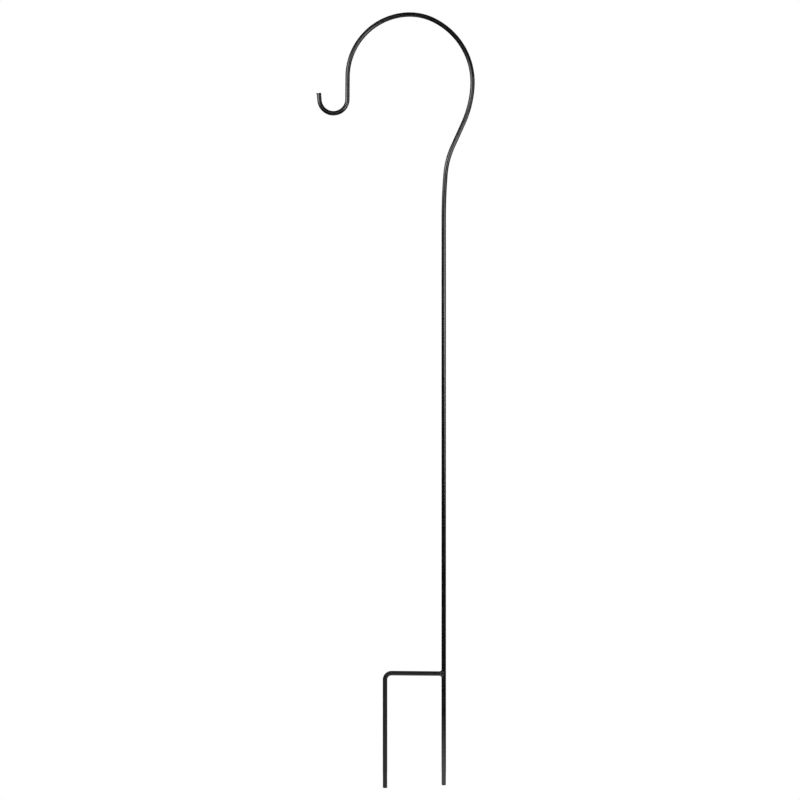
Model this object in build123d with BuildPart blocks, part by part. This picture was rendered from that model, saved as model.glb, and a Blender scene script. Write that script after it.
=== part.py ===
from build123d import *
import os
from math import cos, radians, sin, tan

# Garden crook with a two-prong ground fork, bent from round steel rod.
# Millimetres and degrees. The long pole stands on the Z axis, the crook and the fork lie in the
# XZ plane, and z = 0 is the soil line, where the underside of the step bar meets the pole.

# Rod stock
rod_diameter = 9.5

# Pole, measured from the soil line
pole_depth = 229.7
pole_height = 959.0

# Crook, from the top of the straight pole to the cut end, as centreline bends and straights
lean_angle = 4.6
lean_radius = 1153.0
kick_angle = 19.8
kick_radius = 175.6
kick_length = 53.7
shoulder_angle = 20.7
shoulder_radius = 219.0
crown_angle = 68.1
crown_radius = 145.4
brow_angle = 29.2
brow_radius = 114.2
drop_radius = 131.2
shank_lean = 0.5
shank_length = 48.0
hook_angle = 174.9
hook_radius = 29.3
lip_length = 15.7

# Sheared end of the small hook, pressed wider and outwards by the blade, which leaves a groove
lip_end_length = 4.0
lip_end_width = 10.9
lip_end_thickness = 9.1
lip_end_shift = 0.75
lip_edge = 0.3
lip_groove_depth = 0.7
lip_groove_width = 7.0
lip_groove_shift = 1.0

# Step bar and second prong, one rod bent once
prong_spacing = 123.2
prong_overreach = 5.4
bar_rise = 0.5
step_bend_radius = 13.6

# Rounded ends of both prongs
stake_edge = 1.9

# Weld between the step bar and the pole, laid in bands. Hollow is the power of its climb along the
# bar, 1 for a flat face
weld_root_gap = 0.6
weld_leg_bar = 4.8
weld_leg_pole = 3.7
weld_hollow = 1.8
weld_crown = 1.2
weld_reach = 5.6
weld_toe = 0.3
weld_bands = 5

# Worked out from the sizes above
rod_radius = rod_diameter / 2
bar_height = rod_radius
prong_depth = pole_depth + prong_overreach
left_turns = shoulder_angle + crown_angle + brow_angle
drop_angle = 180 + lean_angle + kick_angle - left_turns - shank_lean
groove_radius = (lip_groove_width**2 / 4 + lip_groove_depth**2) / (2 * lip_groove_depth)


def section_plane(curve, share):
    """Plane square to a centreline at a share of its length, its y axis on the right of travel."""
    return Plane(origin=curve @ share, x_dir=(0, -1, 0), z_dir=curve % share)


# Pole and crook: one rod, from the end that goes into the soil to the start of the sheared end
with BuildPart() as hook_pole:
    with BuildLine(Plane.XZ) as pole_line:
        pole_run = Line((0, -pole_depth), (0, pole_height))
        lean = JernArc(pole_run @ 1, pole_run % 1, lean_radius, -lean_angle)
        kick = JernArc(lean @ 1, lean % 1, kick_radius, -kick_angle)
        kick_run = Line(kick @ 1, (kick @ 1) + (kick % 1) * kick_length)
        shoulder = JernArc(kick_run @ 1, kick_run % 1, shoulder_radius, shoulder_angle)
        crown = JernArc(shoulder @ 1, shoulder % 1, crown_radius, crown_angle)
        brow = JernArc(crown @ 1, crown % 1, brow_radius, brow_angle)
        drop = JernArc(brow @ 1, brow % 1, drop_radius, drop_angle)
        shank = Line(drop @ 1, (drop @ 1) + (drop % 1) * shank_length)
        small_hook = JernArc(shank @ 1, shank % 1, hook_radius, -hook_angle)
        lip_run = lip_length - lip_end_length
        lip = Line(small_hook @ 1, (small_hook @ 1) + (small_hook % 1) * lip_run)
    with BuildSketch(section_plane(pole_run, 0)):
        Circle(rod_radius)
    sweep(path=pole_line.line)
    # The sheared end swells away from the pole over its last few millimetres
    lip_start = section_plane(lip, 1)
    lip_end = lip_start.offset(lip_end_length)
    with BuildSketch(lip_start):
        Circle(rod_radius)
    with BuildSketch(lip_end):
        with Locations((0, -lip_end_shift)):
            Ellipse(lip_end_thickness / 2, lip_end_width / 2)
    loft()
    chamfer(hook_pole.faces().filter_by(lip_end).edges(), lip_edge)
    # The two blades leave a shallow groove across the end, from front to back
    groove_height = groove_radius - lip_groove_depth
    with BuildSketch(Plane(origin=lip_end.origin, x_dir=lip_end.y_dir, z_dir=-lip_end.x_dir)):
        with Locations((-lip_groove_shift, -groove_height)):
            Circle(groove_radius)
    extrude(amount=lip_end_thickness, both=True, mode=Mode.SUBTRACT)
    fillet(hook_pole.edges().sort_by(Axis.Z)[0], stake_edge)
hook_pole.part.label = "hook_pole"

# Step bar and second prong: the bar leaves the weld almost level and turns down once
with BuildPart() as step_prong:
    with BuildLine(Plane.XZ) as prong_line:
        bar_start_x = -(rod_radius + weld_root_gap)
        corner_height = bar_height + (prong_spacing + bar_start_x) * tan(radians(bar_rise))
        FilletPolyline(
            (bar_start_x, bar_height),
            (-prong_spacing, corner_height),
            (-prong_spacing, -prong_depth),
            radius=step_bend_radius,
        )
    with BuildSketch(section_plane(prong_line.line, 0)):
        Circle(rod_radius)
    sweep(path=prong_line.line)
    fillet(step_prong.edges().sort_by(Axis.Z)[0], stake_edge)
step_prong.part.label = "step_prong"

# Weld bead: a hollow fillet that climbs from the bar to its shoulder at the side of the pole, then
# a crown that wraps half the pole's front. Each section gives x, growth front and back, growth in height
bead_sections = []
for band in range(weld_bands + 1):
    climb = band / weld_bands
    section_x = -rod_radius - weld_leg_bar * (1 - climb)
    grow_out = weld_toe + (weld_crown - weld_toe) * sin(radians(90 * climb))
    grow_up = weld_toe + (weld_leg_pole - weld_toe) * climb**weld_hollow
    bead_sections.append((section_x, grow_out, grow_up))
for band in range(1, weld_bands + 1):
    wrap = radians(90 * band / weld_bands)
    section_x = weld_reach * sin(wrap) - rod_radius
    grow_out = (weld_crown + weld_toe) * cos(wrap) - weld_toe
    grow_up = weld_leg_pole * cos(wrap)
    bead_sections.append((section_x, grow_out, grow_up))
with BuildPart() as weld_bead:
    for section_x, grow_out, grow_up in bead_sections:
        with BuildSketch(Plane.YZ.offset(section_x)):
            with Locations((0, bar_height)):
                Ellipse(rod_radius + grow_out, rod_radius + grow_up)
    loft(ruled=True)
    add(hook_pole.part, mode=Mode.SUBTRACT)
    add(step_prong.part, mode=Mode.SUBTRACT)
weld_bead.part.label = "weld_bead"

os.makedirs("parts", exist_ok=True)
export_step(hook_pole.part, "parts/hook_pole.step")
export_step(step_prong.part, "parts/step_prong.step")
export_step(weld_bead.part, "parts/weld_bead.step")
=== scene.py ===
"""Garden crook of round steel rod, coated black and set on a white studio stage."""

from math import atan2, cos, exp, pi, radians, sin, sqrt, tan

import bmesh
import bpy
from bpy.props import FloatProperty, FloatVectorProperty, IntProperty, PointerProperty
from mathutils import Matrix, Vector, noise


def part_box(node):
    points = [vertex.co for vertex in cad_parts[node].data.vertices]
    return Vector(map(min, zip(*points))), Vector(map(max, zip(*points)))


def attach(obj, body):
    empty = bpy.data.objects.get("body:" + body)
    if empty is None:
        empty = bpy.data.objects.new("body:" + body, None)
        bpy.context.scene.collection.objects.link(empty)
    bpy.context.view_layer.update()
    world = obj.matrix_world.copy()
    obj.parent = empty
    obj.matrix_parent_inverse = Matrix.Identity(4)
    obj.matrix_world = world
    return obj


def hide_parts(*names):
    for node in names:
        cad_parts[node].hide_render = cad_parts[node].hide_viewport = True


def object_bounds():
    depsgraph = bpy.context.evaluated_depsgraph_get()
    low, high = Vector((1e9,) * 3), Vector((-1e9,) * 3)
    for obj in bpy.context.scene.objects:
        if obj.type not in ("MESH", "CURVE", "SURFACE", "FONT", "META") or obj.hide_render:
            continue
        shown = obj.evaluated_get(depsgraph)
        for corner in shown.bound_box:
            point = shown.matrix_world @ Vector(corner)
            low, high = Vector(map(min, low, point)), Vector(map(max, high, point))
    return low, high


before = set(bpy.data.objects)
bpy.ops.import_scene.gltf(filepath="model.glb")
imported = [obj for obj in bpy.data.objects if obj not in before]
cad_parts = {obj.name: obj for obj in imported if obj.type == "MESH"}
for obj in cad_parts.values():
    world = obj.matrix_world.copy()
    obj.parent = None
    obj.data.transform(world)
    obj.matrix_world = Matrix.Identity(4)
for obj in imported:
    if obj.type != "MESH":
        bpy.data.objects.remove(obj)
frame_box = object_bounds()

bl_info = {
    "name": "Garden Crook",
    "version": (1, 0, 0),
    "blender": (4, 5, 0),
    "location": "3D Viewport > Sidebar > Garden Crook",
    "description": "Bends the pole and the prong, lays the weld and sets the stage",
    "category": "Object",
}

BODY = "root"
BLACK_COAT = "black_powder_coat"
WELD_COAT = "coated_weld"
THIN_COAT = "thin_coat"
WHITE = (1, 1, 1, 1)

# Both rods are bent in the XZ plane
PLANE_NORMAL = Vector((0, -1, 0))

# Corners of the rods' boxes in the frame
POLE_LOW, POLE_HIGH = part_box("hook_pole")
PRONG_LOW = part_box("step_prong")[0]
ROD_DIAMETER = POLE_HIGH.y - POLE_LOW.y

# Vertices nearer than this are merged, and edges sharper than these angles stay sharp
MERGE_DISTANCE = 1e-6
ROD_SMOOTH_ANGLE = radians(35)
WELD_SMOOTH_ANGLE = radians(60)

# Where the floor and the lamps have their middle, left or right of the pole
CROOK_MIDDLE = -0.1

# Lamps: name, degrees to the right of the camera's side, distance, height, height of the point
# that it faces, width and height of its face, and how bright the face is
LAMPS = (
    ("left_high", -45, 2.2, 1.8, 1.2, 0.55, 0.55, 9.8),
    ("right_low", 60, 2.2, 0.6, 0.6, 0.55, 0.55, 7.9),
    ("right_middle", 30, 1.3, 0.8, 0.8, 0.35, 0.35, 5.8),
    ("left_key", -30, 1.3, 1.4, 1.2, 0.35, 0.35, 5.1),
    ("far_front", -8, 6.0, 2.6, 1.2, 1.4, 0.8, 4.1),
    ("left_fork", -62, 0.8, 1.2, 0.0, 0.4, 0.4, 3.6),
    ("right_high", 45, 2.2, 1.4, 1.2, 0.55, 0.55, 3.5),
    ("right_key", 35, 0.82, 0.89, 1.27, 0.3, 0.3, 3.2),
    ("right_upper", 30, 1.3, 1.1, 1.1, 0.35, 0.35, 2.6),
    ("left_back", -145, 2.6, 1.5, 0.9, 1.0, 1.0, 1.2),
    ("right_back", 145, 2.6, 1.5, 0.9, 1.0, 1.0, 1.2),
)


# Settings that a user would change


def length(name, description, default):
    """A size, in metres."""
    return FloatProperty(
        name=name, description=description, default=default, unit="LENGTH", precision=5
    )


def angle(name, description, degrees):
    """An angle, written in degrees and kept in radians."""
    return FloatProperty(
        name=name, description=description, default=radians(degrees), subtype="ANGLE"
    )


def number(name, description, default):
    """A plain number."""
    return FloatProperty(name=name, description=description, default=default)


def count(name, description, default, least):
    """A whole number."""
    return IntProperty(name=name, description=description, default=default, min=least)


def colour(name, description, default):
    """A scene-linear colour."""
    return FloatVectorProperty(
        name=name, description=description, default=default, subtype="COLOR", min=0, max=1
    )


class RodStock(bpy.types.PropertyGroup):
    """The round rod that both pieces are bent from."""

    diameter: length("Rod diameter", "Diameter of the round rod", ROD_DIAMETER)
    sides: count("Sides", "Flat sides round the rod", 64, 12)
    straight_step: length("Straight step", "Distance between rings on a straight run", 0.02)
    bend_step: length("Bend step", "Distance between rings on a bend", 0.002)
    bend_turn: angle("Bend turn", "About the most that a bend turns from ring to ring", 3)
    stake_edge: length("Stake edge", "Radius round the cut end of each prong", 0.0019)
    stake_dome: length("Stake dome", "Height of the dome on the cut end of each prong", 0.0003)
    edge_segments: count("Edge segments", "Steps in a rounded edge", 6, 1)
    cap_rings: count("Cap rings", "Rings across a cut end", 6, 1)


class CrookBends(bpy.types.PropertyGroup):
    """The pole's straights and bends, in the order that they are bent."""

    pole_height: length("Pole height", "Top of the straight pole above the soil line", 0.959)
    lean: angle("Lean", "Slow turn away from the small hook", 4.6)
    lean_radius: length("Lean radius", "Centreline radius of the lean", 1.153)
    kick: angle("Kick", "Bend that carries the crook off the pole's axis", 19.8)
    kick_radius: length("Kick radius", "Centreline radius of the kick", 0.1756)
    kick_length: length("Kick length", "Straight run above the kick", 0.0537)
    shoulder: angle("Shoulder", "First bend back over the pole", 20.7)
    shoulder_radius: length("Shoulder radius", "Centreline radius of the shoulder", 0.219)
    crown: angle("Crown", "Bend over the top", 68.1)
    crown_radius: length("Crown radius", "Centreline radius of the crown", 0.1454)
    brow: angle("Brow", "Tighter bend past the top", 29.2)
    brow_radius: length("Brow radius", "Centreline radius of the brow", 0.1142)
    drop_radius: length("Drop radius", "Centreline radius of the bend down to the shank", 0.1312)
    shank_lean: angle("Shank lean", "How far the shank stops short of plumb", 0.5)
    shank_length: length("Shank length", "Straight run above the small hook", 0.048)
    hook: angle("Small hook", "Turn of the small hook", 174.9)
    hook_radius: length("Small hook radius", "Centreline radius of the small hook", 0.0293)
    lip_length: length("Lip length", "Straight run at the end of the small hook", 0.0157)


class LipEnd(bpy.types.PropertyGroup):
    """The sheared end of the small hook."""

    length: length("Pressed length", "Stretch that the blade has pressed wider", 0.004)
    width: length("End width", "Width of the end in the plane of the crook", 0.0109)
    thickness: length("End thickness", "Thickness of the end from front to back", 0.0091)
    shift: length("End shift", "How far the end is pushed outwards", 0.00075)
    edge: length("End edge", "Softened edge round the end", 0.0003)
    groove_depth: length("Groove depth", "Depth of the groove that the blades leave", 0.0007)
    groove_width: length("Groove width", "Width of the groove", 0.007)
    groove_shift: length("Groove shift", "How far the groove lies outwards of the middle", 0.001)
    steps: count("Pressed rings", "Rings along the pressed stretch", 10, 2)
    swell: number("Swell", "How suddenly the end swells, from 1 for evenly", 1.5)


class ForkSizes(bpy.types.PropertyGroup):
    """Step bar and second prong."""

    spacing: length("Prong spacing", "Pole axis to prong axis", -PRONG_LOW.x - ROD_DIAMETER / 2)
    bar_start: length("Bar start", "Pole axis to the cut end of the bar", 0.00535)
    bar_rise: angle("Bar rise", "Rise of the step bar away from the pole", 0.5)
    bend_radius: length("Step bend radius", "Centreline radius of the bend at the step", 0.0136)


class WeldSizes(bpy.types.PropertyGroup):
    """The bead between the step bar and the pole."""

    leg_bar: length("Leg on the bar", "Reach of the bead along the bar", 0.0048)
    leg_pole: length("Leg on the pole", "Reach of the bead up and down the pole", 0.0037)
    hollow: number("Hollow", "How hollow the bead is, from 1 for a flat face", 1.8)
    crown: length("Crown", "Height of the bead at the front and back", 0.0014)
    crown_hold: number("Crown hold", "Power by which the crown falls away round the pole", 4)
    reach: length("Reach", "How far the bead wraps round the pole from its side", 0.0056)
    toe: length("Toe", "How deep the bead's thin edges run under the rods' surface", 0.0002)
    wander: length("Wander", "How far the bead's edge on the bar strays", 0.0006)
    wander_pace: number("Wander pace", "How often the edge strays round the bar", 1.7)
    wander_slice: number("Wander slice", "Slice of the noise that the edge strays by", 0.0003)
    ripple: length("Ripple", "Depth between two ripples of the bead", 0.00014)
    ripple_bow: number("Ripple bow", "How far the ripples bow, in radians", 9)
    ripples: count("Ripples", "Ripples round the bar", 20, 1)
    lump: length("Lump", "Depth of the slow unevenness of the bead", 0.0003)
    lump_size: length("Lump size", "Distance between two lumps", 0.004)
    segments: count("Segments", "Mesh segments round the bead", 240, 24)
    rings: count("Rings", "Mesh rings along each half of the bead", 30, 4)


class CoatFinish(bpy.types.PropertyGroup):
    """Black powder coat."""

    deep: colour("Deep black", "Coat where it is thick", (0.0024, 0.0024, 0.0026))
    thin: colour("Thin black", "Coat where it is thin, at cut edges", (0.012, 0.0115, 0.0115))
    rough_low: number("Low roughness", "Roughness of the glossiest patches", 0.15)
    rough_high: number("High roughness", "Roughness of the dullest patches", 0.23)
    ior: number("IOR", "Refractive index of the coat", 1.6)
    peel_size: length("Peel size", "Size of the orange peel in the coat", 0.0014)
    peel_depth: length("Peel depth", "Depth of the orange peel", 0.00002)
    nib_size: length("Nib size", "Size of the fine grain on the orange peel", 0.0005)
    nib_depth: length("Nib depth", "Depth of the fine grain", 0.000003)
    cloud_size: length("Cloud size", "Size of the patches of more and less gloss", 0.03)
    cloud_tint: number("Cloud tint", "How far the dull patches turn to the thin black", 0.45)
    cut_reach: length("Cut reach", "How far the thin coat runs back from a cut end", 0.006)


class StageSizes(bpy.types.PropertyGroup):
    """Floor, camera and the level of the light."""

    floor_radius: length("Floor radius", "Radius of the floor", 0.5)
    floor_forward: length("Floor forward", "Floor's middle in front of the pole", 0.3)
    floor_sides: count("Floor sides", "Straight sides round the floor", 96, 12)
    floor_colour: colour("Floor colour", "Pale floor", (0.8, 0.8, 0.8))
    camera_side: length("Camera side", "Camera left or right of the pole", -0.09174)
    camera_height: length("Camera height", "Camera above the soil line", 0.5785)
    camera_distance: length("Camera distance", "Camera in front of the pole", 4.6605)
    lens: number("Lens", "Focal length in millimetres", 100)
    room_light: number("Room light", "Strength of the even light", 0.5)
    dark_room: number("Dark room", "Strength of the room that the rod mirrors", 0.02)
    backdrop_edge: number("Backdrop edge", "Edge of the mirrored backdrop, 1 is its middle", 0.98)
    floor_lift: number("Floor lift", "Glow that takes the floor to white", 0.45)


# Bending round rod


class RodBender:
    """Draws a round rod in a bmesh, a straight or bend at a time, in the plane of the crook."""

    def __init__(self, stock, start, heading):
        self.stock = stock
        self.bm = bmesh.new()
        self.point = Vector(start)
        self.heading = heading
        made = bmesh.ops.create_circle(
            self.bm, segments=stock.sides, radius=stock.diameter / 2, matrix=self.place()
        )
        self.ring = ring_edges(made["verts"])

    def direction(self):
        """Unit vector along the rod at its working end."""
        return Vector((cos(self.heading), 0, sin(self.heading)))

    def outward(self):
        """Unit vector to the left of travel, in the plane of the crook."""
        return Vector((-sin(self.heading), 0, cos(self.heading)))

    def place(self):
        """Matrix that stands a flat shape square to the rod at its working end."""
        columns = (self.outward(), PLANE_NORMAL, self.direction())
        turned = Matrix(columns).transposed().to_4x4()
        return Matrix.Translation(self.point) @ turned

    def step(self, distance):
        """Carries the open ring straight on by one step."""
        made = bmesh.ops.extrude_edge_only(self.bm, edges=self.ring)
        verts = [item for item in made["geom"] if isinstance(item, bmesh.types.BMVert)]
        self.ring = ring_edges(verts)
        self.point = self.point + self.direction() * distance
        bmesh.ops.translate(self.bm, verts=verts, vec=self.direction() * distance)
        return verts

    def straight(self, run):
        """Carries the rod straight on."""
        steps = max(1, round(run / self.stock.straight_step))
        for _ in range(steps):
            self.step(run / steps)

    def bend(self, turn, radius):
        """Bends the rod, to the left of travel for a positive turn."""
        side = 1 if turn > 0 else -1
        centre = self.point + self.outward() * side * radius
        steps = round(abs(turn) * max(radius / self.stock.bend_step, 1 / self.stock.bend_turn))
        made = bmesh.ops.spin(
            self.bm,
            geom=self.ring,
            cent=centre,
            axis=PLANE_NORMAL,
            angle=turn,
            steps=steps,
            use_duplicate=False,
        )
        self.ring = [item for item in made["geom_last"] if isinstance(item, bmesh.types.BMEdge)]
        self.point = centre + Matrix.Rotation(turn, 3, PLANE_NORMAL) @ (self.point - centre)
        self.heading += turn


def ring_edges(verts):
    """Edges that join the vertices of one ring."""
    wanted = set(verts)
    edges = {edge for vert in verts for edge in vert.link_edges}
    return [edge for edge in edges if edge.verts[0] in wanted and edge.verts[1] in wanted]


def close_ring(bm, ring):
    """Face that closes an open ring."""
    bmesh.ops.contextual_create(bm, geom=ring)


def shrink_ring(bm, ring, centre, share, move):
    """New ring, carried inwards to a share of the old one's size and moved along."""
    made = bmesh.ops.extrude_edge_only(bm, edges=ring)
    verts = [item for item in made["geom"] if isinstance(item, bmesh.types.BMVert)]
    middle = Matrix.Translation(-centre)
    bmesh.ops.scale(bm, verts=verts, vec=Vector((share, share, share)), space=middle)
    bmesh.ops.translate(bm, verts=verts, vec=move)
    return ring_edges(verts)


def round_end(bm, ring, centre, direction, stock, edge, dome):
    """Closes a cut end: a rounded edge, then rings over a slight dome to the middle."""
    radius = stock.diameter / 2
    flat = radius - edge
    profile = []
    for step in range(1, stock.edge_segments + 1):
        turn = step / stock.edge_segments * pi / 2
        profile.append((flat + edge * cos(turn), edge * sin(turn)))
    for step in range(1, stock.cap_rings):
        share = 1 - step / stock.cap_rings
        profile.append((flat * share, edge + dome * (1 - share * share)))
    width, height = radius, 0.0
    for new_width, new_height in profile:
        ring = shrink_ring(bm, ring, centre, new_width / width, direction * (new_height - height))
        centre = centre + direction * (new_height - height)
        width, height = new_width, new_height
    close_ring(bm, ring)


# Finishing a mesh and giving it its place in the frame


def settle_mesh(bm, mesh, smooth_angle):
    """Merges doubles, turns the faces outwards and smooths all but the sharp edges."""
    bmesh.ops.remove_doubles(bm, verts=bm.verts, dist=MERGE_DISTANCE)
    bmesh.ops.recalc_face_normals(bm, faces=bm.faces)
    bm.to_mesh(mesh)
    bm.free()
    mesh.shade_smooth()
    mesh.set_sharp_from_angle(angle=smooth_angle)


def finish_mesh(bm, name):
    """Object with the bmesh's shape, standing at the origin."""
    mesh = bpy.data.meshes.new(name)
    settle_mesh(bm, mesh, ROD_SMOOTH_ANGLE)
    piece = bpy.data.objects.new(name, mesh)
    bpy.context.scene.collection.objects.link(piece)
    return piece


def seat_piece(piece, node):
    """Puts a piece in the place of its node of the frame."""
    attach(piece, BODY)
    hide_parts(node)


# The black coat


class ShaderSketch:
    """Short way to place and link shader nodes."""

    def __init__(self, owner):
        owner.use_nodes = True
        self.tree = owner.node_tree
        self.tree.nodes.clear()

    def node(self, kind, inputs=(), **settings):
        """New node with its settings, and its inputs set or linked."""
        made = self.tree.nodes.new(kind)
        for key, value in settings.items():
            setattr(made, key, value)
        for key, value in dict(inputs).items():
            if isinstance(value, bpy.types.NodeSocket):
                self.tree.links.new(value, made.inputs[key])
            else:
                made.inputs[key].default_value = value
        return made

    def noise(self, size, detail):
        """Noise whose lumps are about one size across, in metres."""
        place = self.node("ShaderNodeTexCoord").outputs["Object"]
        settings = {"Vector": place, "Scale": 1 / size, "Detail": detail}
        return self.node("ShaderNodeTexNoise", settings).outputs["Fac"]

    def times(self, value, factor):
        """A value made larger or smaller."""
        return self.node("ShaderNodeMath", {0: value, 1: factor}, operation="MULTIPLY").outputs[0]

    def larger(self, first, second):
        """The larger of two values."""
        return self.node("ShaderNodeMath", {0: first, 1: second}, operation="MAXIMUM").outputs[0]

    def spread(self, value, low, high, start=0.3, end=0.7):
        """A value mapped onto low to high. The default start and end hold most of a noise."""
        settings = {
            "Value": value,
            "From Min": start,
            "From Max": end,
            "To Min": low,
            "To Max": high,
        }
        return self.node("ShaderNodeMapRange", settings, clamp=True).outputs["Result"]

    def blend(self, share, first, second):
        """Mix of two colours. The node takes them in sockets 6 and 7 and gives the mix in 2."""
        settings = {"Factor": share, 6: first, 7: second}
        return self.node("ShaderNodeMix", settings, data_type="RGBA").outputs[2]

    def surface(self, shader, kind="ShaderNodeOutputMaterial"):
        """Links a shader to the output."""
        self.node(kind, {"Surface": shader})


def powder_coat(name, finish):
    """Black powder coat: orange peel, fine grain, cloudy gloss and thin cover on cut ends."""
    material = bpy.data.materials.new(name)
    sketch = ShaderSketch(material)
    deep, thin = (*finish.deep, 1), (*finish.thin, 1)
    cloud = sketch.noise(finish.cloud_size, detail=3)
    cover = sketch.node("ShaderNodeAttribute", attribute_name=THIN_COAT).outputs["Fac"]
    base = sketch.blend(sketch.spread(cloud, 0.0, finish.cloud_tint), deep, thin)
    base = sketch.blend(cover, base, thin)
    rough = sketch.spread(cloud, finish.rough_low, finish.rough_high)
    peel = sketch.times(sketch.noise(finish.peel_size, detail=1), finish.peel_depth)
    nibs = sketch.times(sketch.noise(finish.nib_size, detail=1), finish.nib_depth)
    height = sketch.node("ShaderNodeMath", {0: peel, 1: nibs}, operation="ADD").outputs[0]
    bump = sketch.node("ShaderNodeBump", {"Strength": 1.0, "Distance": 1.0, "Height": height})
    coat = {
        "Base Color": base,
        "Roughness": rough,
        "IOR": finish.ior,
        "Normal": bump.outputs["Normal"],
    }
    sketch.surface(sketch.node("ShaderNodeBsdfPrincipled", coat).outputs["BSDF"])
    return material


def mark_thin_coat(piece, ends, reach):
    """Stores how thin the coat is, from 0 to 1, at each vertex near the cut ends."""
    layer = piece.data.attributes.new(THIN_COAT, "FLOAT", "POINT")
    gaps = [min((vert.co - end).length for end in ends) for vert in piece.data.vertices]
    layer.data.foreach_set("value", [exp(-((gap / reach) ** 2)) for gap in gaps])


# Pole, crook and small hook


def press_lip(rod, lip, tip):
    """Flares the end of the small hook outwards and presses the groove across it."""
    widen = lip.width / rod.stock.diameter - 1
    flatten = lip.thickness / rod.stock.diameter - 1
    along, across = rod.direction(), rod.outward()
    for vert in rod.bm.verts:
        offset = vert.co - tip
        back = max(0.0, -offset.dot(along))
        if offset.length > lip.width or back > lip.length:
            continue
        share = 1 - back / lip.length
        side = offset.dot(across)
        swell = share ** lip.swell
        outwards = (side * widen + lip.shift) * swell
        forwards = offset.y * flatten * swell
        wall = (side + outwards - lip.groove_shift) / (lip.groove_width / 2)
        sink = lip.groove_depth * max(0.0, 1 - wall * wall) * share * share
        vert.co += across * outwards + Vector((0, forwards, 0)) - along * sink


class CROOK_OT_hook_pole(bpy.types.Operator):
    """Bend the pole, the crook and the small hook from one rod"""

    bl_idname = "crook.hook_pole"
    bl_label = "Hook Pole"

    def execute(self, context):
        scene = context.scene
        stock, bends, lip = scene.crook_stock, scene.crook_bends, scene.crook_lip
        stake = POLE_LOW.z + stock.stake_edge + stock.stake_dome
        rod = RodBender(stock, (0, 0, stake), pi / 2)
        down = Vector((0, 0, -1))
        round_end(rod.bm, rod.ring, rod.point, down, stock, stock.stake_edge, stock.stake_dome)
        rod.straight(bends.pole_height - stake)
        rod.bend(-bends.lean, bends.lean_radius)
        rod.bend(-bends.kick, bends.kick_radius)
        rod.straight(bends.kick_length)
        rod.bend(bends.shoulder, bends.shoulder_radius)
        rod.bend(bends.crown, bends.crown_radius)
        rod.bend(bends.brow, bends.brow_radius)
        left = bends.shoulder + bends.crown + bends.brow
        rod.bend(pi + bends.lean + bends.kick - left - bends.shank_lean, bends.drop_radius)
        rod.straight(bends.shank_length)
        rod.bend(-bends.hook, bends.hook_radius)
        rod.straight(bends.lip_length - lip.length)
        for _ in range(lip.steps):
            rod.step((lip.length - lip.edge) / lip.steps)
        round_end(rod.bm, rod.ring, rod.point, rod.direction(), stock, lip.edge, 0.0)
        tip = rod.point + rod.direction() * lip.edge
        press_lip(rod, lip, tip)
        piece = finish_mesh(rod.bm, "bent_pole")
        mark_thin_coat(piece, (tip, Vector((0, 0, POLE_LOW.z))), scene.crook_coat.cut_reach)
        piece.data.materials.append(powder_coat(BLACK_COAT, scene.crook_coat))
        seat_piece(piece, "hook_pole")
        return {"FINISHED"}


# Step bar and second prong


class CROOK_OT_step_prong(bpy.types.Operator):
    """Bend the step bar and the second prong from one rod"""

    bl_idname = "crook.step_prong"
    bl_label = "Step Prong"

    def execute(self, context):
        scene = context.scene
        stock, fork = scene.crook_stock, scene.crook_fork
        rise = fork.bar_rise
        turn = pi / 2 + rise
        setback = fork.bend_radius * tan(turn / 2)
        level_run = fork.spacing - fork.bar_start
        corner_height = stock.diameter / 2 + level_run * tan(rise)
        stake = PRONG_LOW.z + stock.stake_edge + stock.stake_dome
        rod = RodBender(stock, (-fork.bar_start, 0, stock.diameter / 2), pi - rise)
        close_ring(rod.bm, rod.ring)
        rod.straight(level_run / cos(rise) - setback)
        rod.bend(turn, fork.bend_radius)
        rod.straight(corner_height - setback - stake)
        down = rod.direction()
        round_end(rod.bm, rod.ring, rod.point, down, stock, stock.stake_edge, stock.stake_dome)
        piece = finish_mesh(rod.bm, "bent_prong")
        tip = Vector((-fork.spacing, 0, PRONG_LOW.z))
        mark_thin_coat(piece, (tip,), scene.crook_coat.cut_reach)
        piece.data.materials.append(bpy.data.materials[BLACK_COAT])
        seat_piece(piece, "step_prong")
        return {"FINISHED"}


# Weld between the bar and the pole


def bead_sections(weld, rod_radius):
    """Place along the bar, growth to the front and growth in height of each ring of the bead."""
    sections = []
    for ring in range(weld.rings + 1):
        climb = ring / weld.rings
        place = -rod_radius - weld.leg_bar * (1 - climb)
        out = weld.crown * sin(climb * pi / 2)
        sections.append((place, out, weld.leg_pole * climb ** weld.hollow))
    for ring in range(1, weld.rings + 1):
        wrap = ring / weld.rings
        place = wrap * weld.reach - rod_radius
        out = weld.crown * (1 - wrap ** weld.crown_hold)
        sections.append((place, out, weld.leg_pole * sqrt(1 - wrap * wrap)))
    return [(place, out - weld.toe, up - weld.toe) for place, out, up in sections]


def lay_bead(bm, weld, rod_radius):
    """Closed tube of rings along the bar's axis, as wide and high as the bead is there."""
    turned = Matrix.Rotation(pi / 2, 4, "Y")
    rings = []
    for place, grow_out, grow_up in bead_sections(weld, rod_radius):
        centre = Matrix.Translation((place, 0, rod_radius))
        size = Matrix.Diagonal((1, rod_radius + grow_out, rod_radius + grow_up, 1))
        ring_place = centre @ size @ turned
        made = bmesh.ops.create_circle(bm, segments=weld.segments, radius=1, matrix=ring_place)
        rings.append(ring_edges(made["verts"]))
    for near, far in zip(rings, rings[1:]):
        bmesh.ops.bridge_loops(bm, edges=near + far)
    close_ring(bm, rings[0])
    close_ring(bm, rings[-1])


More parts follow.
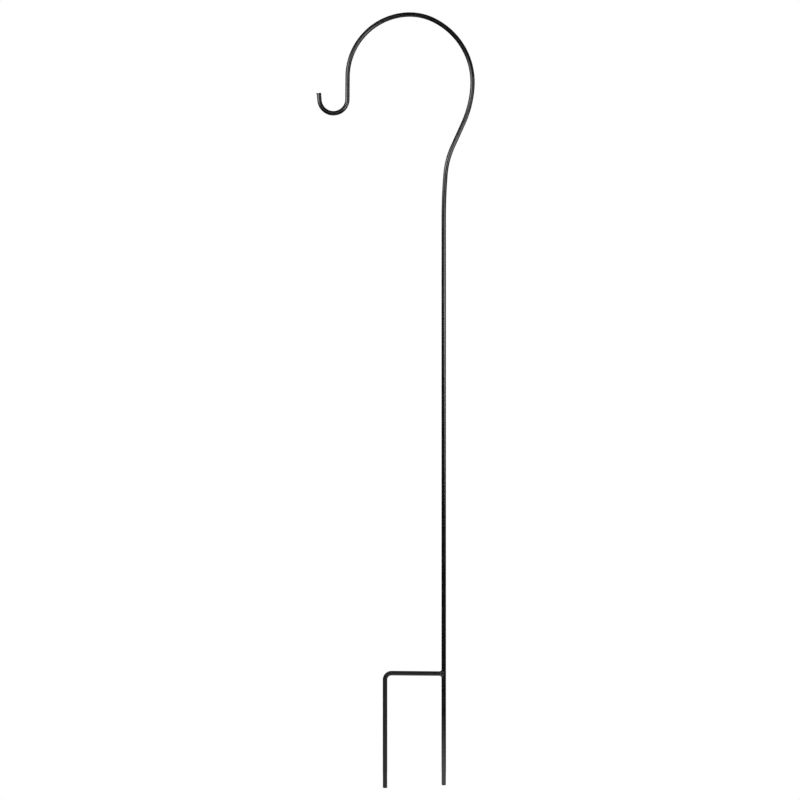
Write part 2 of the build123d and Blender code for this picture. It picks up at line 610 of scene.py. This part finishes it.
def ripple_bead(bm, weld, rod_radius):
    """Presses crescent ripples and slow lumps into the bead, and lets its edge wander."""
    span = weld.leg_bar + weld.reach
    for vert in bm.verts:
        around = vert.co - Vector((vert.co.x, 0, rod_radius))
        across = min(1.0, max(0.0, (vert.co.x + rod_radius + weld.leg_bar) / span))
        turn = atan2(around.z, around.y)
        wander = noise.noise(vert.co / weld.lump_size)
        bow = weld.ripple_bow * (2 * across - 1) ** 2 + pi * wander
        wave = 0.5 - 0.5 * cos(weld.ripples * turn + bow)
        lump = 0.5 - 0.5 * wander
        body = sqrt(sin(pi * across))
        way_round = Vector((cos(turn), sin(turn), weld.wander_slice))
        edge = noise.noise(way_round * weld.wander_pace)
        vert.co -= around.normalized() * body * (weld.ripple * wave + weld.lump * lump)
        vert.co.x += weld.wander * (0.5 + edge) * (1 - across) ** 2


def cut_away(piece, cutters):
    """Takes the cutters' shapes out of a piece, so that it sits on them face to face."""
    for cutter in cutters:
        cut = piece.modifiers.new("seat", "BOOLEAN")
        cut.operation = "DIFFERENCE"
        cut.solver = "EXACT"
        cut.object = cutter
    shown = piece.evaluated_get(bpy.context.evaluated_depsgraph_get())
    mesh = bpy.data.meshes.new_from_object(shown)
    bm = bmesh.new()
    bm.from_mesh(mesh)
    bmesh.ops.remove_doubles(bm, verts=bm.verts, dist=MERGE_DISTANCE)
    # The cut leaves vertices that only split an edge in two
    spare = [vert for vert in bm.verts if len(vert.link_edges) == 2]
    bmesh.ops.dissolve_verts(bm, verts=spare)
    bmesh.ops.triangulate(bm, faces=bm.faces)
    settle_mesh(bm, mesh, WELD_SMOOTH_ANGLE)
    piece.modifiers.clear()
    piece.data = mesh


class CROOK_OT_weld_bead(bpy.types.Operator):
    """Lay the weld bead where the step bar meets the pole"""

    bl_idname = "crook.weld_bead"
    bl_label = "Weld Bead"

    def execute(self, context):
        scene = context.scene
        weld, rod_radius = scene.crook_weld, scene.crook_stock.diameter / 2
        bm = bmesh.new()
        lay_bead(bm, weld, rod_radius)
        ripple_bead(bm, weld, rod_radius)
        piece = finish_mesh(bm, "weld_metal")
        cut_away(piece, (bpy.data.objects["bent_pole"], bpy.data.objects["bent_prong"]))
        # The cut has brought the rods' coats along
        piece.data.materials.clear()
        piece.data.materials.append(powder_coat(WELD_COAT, scene.crook_coat))
        seat_piece(piece, "weld_bead")
        return {"FINISHED"}


# Lamps, floor, room and camera


def soft_box(name, azimuth, distance, height, aim_height, width, tall, brightness):
    """Rectangular lamp at a turn and a distance from the crook's middle, facing it."""
    lamp = bpy.data.lights.new(name, "AREA")
    lamp.shape = "RECTANGLE"
    lamp.size = width
    lamp.size_y = tall
    lamp.energy = brightness * width * tall * pi
    holder = bpy.data.objects.new(name, lamp)
    turn = radians(azimuth)
    place = Vector((CROOK_MIDDLE + distance * sin(turn), -distance * cos(turn), height))
    facing = (Vector((CROOK_MIDDLE, 0, aim_height)) - place).to_track_quat("-Z", "Y")
    holder.matrix_world = Matrix.LocRotScale(place, facing, None)
    holder.visible_camera = False
    bpy.context.scene.collection.objects.link(holder)


def white_floor(stage):
    """Matt white that glows a little where the camera or the rod's gloss looks at it."""
    material = bpy.data.materials.new("white_floor")
    sketch = ShaderSketch(material)
    matt = sketch.node("ShaderNodeBsdfDiffuse", {"Color": (*stage.floor_colour, 1)}).outputs[0]
    glow = {"Color": WHITE, "Strength": stage.floor_lift}
    lift = sketch.node("ShaderNodeEmission", glow).outputs[0]
    both = sketch.node("ShaderNodeAddShader", {0: matt, 1: lift}).outputs[0]
    path = sketch.node("ShaderNodeLightPath").outputs
    mirrored = sketch.larger(path["Is Glossy Ray"], path["Is Transmission Ray"])
    seen = sketch.larger(path["Is Camera Ray"], mirrored)
    mixed = sketch.node("ShaderNodeMixShader", {0: seen, 1: matt, 2: both})
    sketch.surface(mixed.outputs[0])
    return material


def lay_floor(stage):
    """Round white floor under the lowest point of the object, which shows its shadow."""
    bm = bmesh.new()
    bmesh.ops.create_circle(
        bm,
        cap_ends=True,
        segments=stage.floor_sides,
        radius=stage.floor_radius,
        matrix=Matrix.Translation((CROOK_MIDDLE, -stage.floor_forward, frame_box[0].z)),
    )
    mesh = bpy.data.meshes.new("floor")
    bm.to_mesh(mesh)
    bm.free()
    mesh.materials.append(white_floor(stage))
    floor = bpy.data.objects.new("floor", mesh)
    bpy.context.scene.collection.objects.link(floor)


def light_room(scene, stage):
    """Even light, which the camera sees as white and the gloss as a dark room and a backdrop."""
    world = bpy.data.worlds.new("white_room")
    scene.world = world
    sketch = ShaderSketch(world)
    path = sketch.node("ShaderNodeLightPath").outputs
    direction = sketch.node("ShaderNodeTexCoord").outputs["Generated"]
    split = sketch.node("ShaderNodeSeparateXYZ", {"Vector": direction})
    behind = sketch.spread(split.outputs["Y"], 0.0, 1.0, stage.backdrop_edge, 1.0)
    mirrored = sketch.larger(path["Is Glossy Ray"], path["Is Transmission Ray"])
    white = sketch.larger(sketch.times(mirrored, behind), path["Is Camera Ray"])
    room, dark, paper = (
        sketch.node("ShaderNodeBackground", {"Color": WHITE, "Strength": strength}).outputs[0]
        for strength in (stage.room_light, stage.dark_room, 1.0)
    )
    plain = sketch.node("ShaderNodeMixShader", {0: mirrored, 1: room, 2: dark})
    mixed = sketch.node("ShaderNodeMixShader", {0: white, 1: plain.outputs[0], 2: paper})
    sketch.surface(mixed.outputs[0], "ShaderNodeOutputWorld")


def set_camera(scene, stage):
    """Level camera in front of the crook, as far away as the lens needs."""
    camera = bpy.data.cameras.new("camera")
    camera.lens = stage.lens
    holder = bpy.data.objects.new("camera", camera)
    holder.location = (stage.camera_side, -stage.camera_distance, stage.camera_height)
    holder.rotation_euler = (pi / 2, 0, 0)
    scene.collection.objects.link(holder)
    scene.camera = holder


class CROOK_OT_stage(bpy.types.Operator):
    """Set the pale floor, the white surround, the soft lamps and the camera"""

    bl_idname = "crook.stage"
    bl_label = "Stage"

    def execute(self, context):
        stage = context.scene.crook_stage
        lay_floor(stage)
        light_room(context.scene, stage)
        for lamp in LAMPS:
            soft_box(*lamp)
        set_camera(context.scene, stage)
        context.scene.view_settings.view_transform = "Standard"
        return {"FINISHED"}


# Panel, and what is registered


class CROOK_PT_panel(bpy.types.Panel):
    """Steps that make the crook, in order"""

    bl_label = "Garden Crook"
    bl_idname = "CROOK_PT_panel"
    bl_space_type = "VIEW_3D"
    bl_region_type = "UI"
    bl_category = "Garden Crook"

    def draw(self, context):
        for step in STEPS:
            self.layout.operator(step.bl_idname)


SETTINGS = {
    "crook_stock": RodStock,
    "crook_bends": CrookBends,
    "crook_lip": LipEnd,
    "crook_fork": ForkSizes,
    "crook_weld": WeldSizes,
    "crook_coat": CoatFinish,
    "crook_stage": StageSizes,
}
STEPS = (CROOK_OT_hook_pole, CROOK_OT_step_prong, CROOK_OT_weld_bead, CROOK_OT_stage)


def register():
    """Adds the settings, the steps and the panel."""
    for name, group in SETTINGS.items():
        bpy.utils.register_class(group)
        setattr(bpy.types.Scene, name, PointerProperty(type=group))
    for step in (*STEPS, CROOK_PT_panel):
        bpy.utils.register_class(step)


def unregister():
    """Takes the panel, the steps and the settings away again."""
    for step in reversed((*STEPS, CROOK_PT_panel)):
        bpy.utils.unregister_class(step)
    for name, group in reversed(SETTINGS.items()):
        delattr(bpy.types.Scene, name)
        bpy.utils.unregister_class(group)


def main():
    """Makes every piece and the stage."""
    register()
    bpy.ops.crook.hook_pole()
    bpy.ops.crook.step_prong()
    bpy.ops.crook.weld_bead()
    bpy.ops.crook.stage()


if __name__ == "__main__":
    main()
